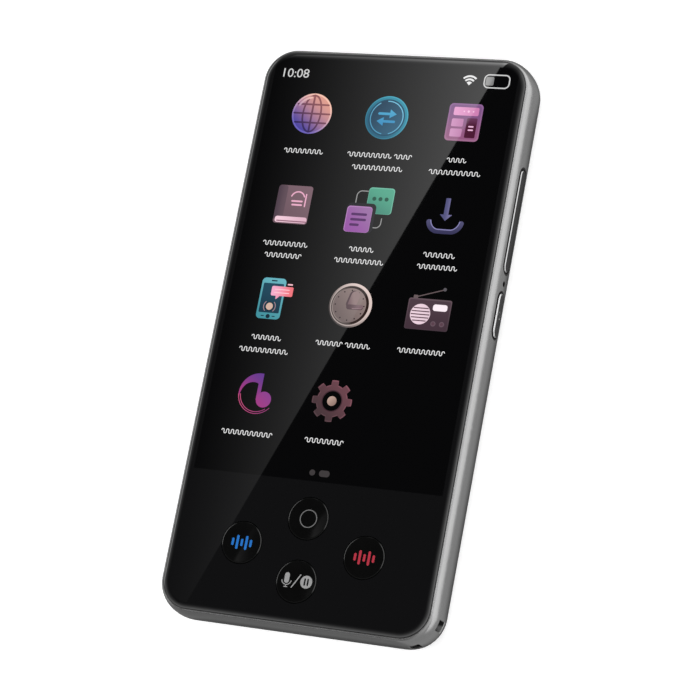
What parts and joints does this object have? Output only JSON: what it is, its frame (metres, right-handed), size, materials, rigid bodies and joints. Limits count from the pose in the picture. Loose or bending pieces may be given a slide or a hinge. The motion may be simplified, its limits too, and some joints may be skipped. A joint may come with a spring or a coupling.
{
  "type": "handheld translator",
  "caption": "Slim handheld translator: glass front with display and round keys, metal frame with side buttons and a corner lanyard loop, rear camera and speaker.",
  "frame": {"origin": "middle of the back face, on the surface that the device lies on", "axes": "+X to the right of the screen, +Y to the device's top end, +Z out of the screen"},
  "size_m": [0.0691, 0.1394, 0.0107],
  "materials": {
    "frame_metal": "satin",
    "front_glass": "gloss",
    "seal_rubber": "matte",
    "cover_plastic": "fine texture",
    "clear_adhesive": "clear",
    "display_glass": "gloss",
    "backlight_film": "satin",
    "flex_film": "satin",
    "plate_metal": "satin",
    "screw_steel": "satin",
    "key_black": "gloss",
    "dome_steel": "satin",
    "inner_plastic": "matte",
    "button_metal": "satin",
    "can_steel": "satin",
    "board_laminate": "satin",
    "chip_resin": "matte",
    "connector_plastic": "matte",
    "socket_steel": "satin",
    "battery_foil": "satin",
    "foam_black": "matte",
    "lens_glass": "gloss",
    "flash_diffuser": "clear"
  },
  "bodies": {
    "housing": {"metal_frame": "frame_metal", "front_glass": "front_glass", "front_seal": "seal_rubber", "rear_cover": "cover_plastic", "rear_seal": "seal_rubber", "optical_adhesive": "clear_adhesive", "display_cell": "display_glass", "display_backlight": "backlight_film", "display_flex": "flex_film", "chassis_plate": "plate_metal", "chassis_screws": "screw_steel", "home_dome": "dome_steel", "blue_voice_dome": "dome_steel", "red_voice_dome": "dome_steel", "mic_pause_dome": "dome_steel", "key_flex": "flex_film", "key_tail": "flex_film", "key_carrier": "inner_plastic", "power_dome": "dome_steel", "volume_up_dome": "dome_steel", "volume_down_dome": "dome_steel", "side_key_bracket": "plate_metal", "side_key_flex": "flex_film", "side_key_screws": "screw_steel", "side_microphone": "can_steel", "mic_boot": "seal_rubber", "main_board": "board_laminate", "board_chips": "chip_resin", "board_connectors": "connector_plastic", "shield_can": "can_steel", "board_screws": "screw_steel", "usb_receptacle": "socket_steel", "usb_tongue": "inner_plastic", "battery": "battery_foil", "battery_tape": "clear_adhesive", "battery_lead": "flex_film", "camera_module": "inner_plastic", "camera_pad": "foam_black", "camera_flex": "flex_film", "camera_ring": "button_metal", "camera_lens": "lens_glass", "flash_lens": "flash_diffuser", "flash_led": "connector_plastic", "loudspeaker": "inner_plastic", "speaker_gasket": "foam_black", "speaker_mesh": "can_steel", "speaker_box": "inner_plastic", "speaker_screws": "screw_steel", "wifi_antenna": "flex_film", "antenna_spring": "can_steel"},
    "home_key": {"home_key": "key_black"},
    "blue_voice_key": {"blue_voice_key": "key_black"},
    "red_voice_key": {"red_voice_key": "key_black"},
    "mic_pause_key": {"mic_pause_key": "key_black"},
    "power_button": {"power_button": "button_metal"},
    "volume_rocker": {"volume_rocker": "button_metal"}
  },
  "joints": [
    {"name": "home_press", "type": "slide", "parent": "housing", "child": "home_key", "axis": [0, 0, -1], "range_m": [0, 0.00035], "stiffness_N_per_m": 4000, "deforming": ["home_dome"]},
    {"name": "blue_voice_press", "type": "slide", "parent": "housing", "child": "blue_voice_key", "axis": [0, 0, -1], "range_m": [0, 0.00035], "stiffness_N_per_m": 4000, "deforming": ["blue_voice_dome"]},
    {"name": "red_voice_press", "type": "slide", "parent": "housing", "child": "red_voice_key", "axis": [0, 0, -1], "range_m": [0, 0.00035], "stiffness_N_per_m": 4000, "deforming": ["red_voice_dome"]},
    {"name": "mic_pause_press", "type": "slide", "parent": "housing", "child": "mic_pause_key", "axis": [0, 0, -1], "range_m": [0, 0.00035], "stiffness_N_per_m": 4000, "deforming": ["mic_pause_dome"]},
    {"name": "power_press", "type": "slide", "parent": "housing", "child": "power_button", "axis": [-1, 0, 0], "range_m": [0, 0.00025], "stiffness_N_per_m": 5000, "deforming": ["power_dome"]},
    {"name": "volume_rock", "type": "hinge", "parent": "housing", "child": "volume_rocker", "pos_m": [0.03068, 0.03126, 0.0053], "axis": [0, 0, 1], "range_deg": [-1.2, 1.2], "stiffness_Nm_per_rad": 0.5, "deforming": ["volume_up_dome", "volume_down_dome"]}
  ]
}
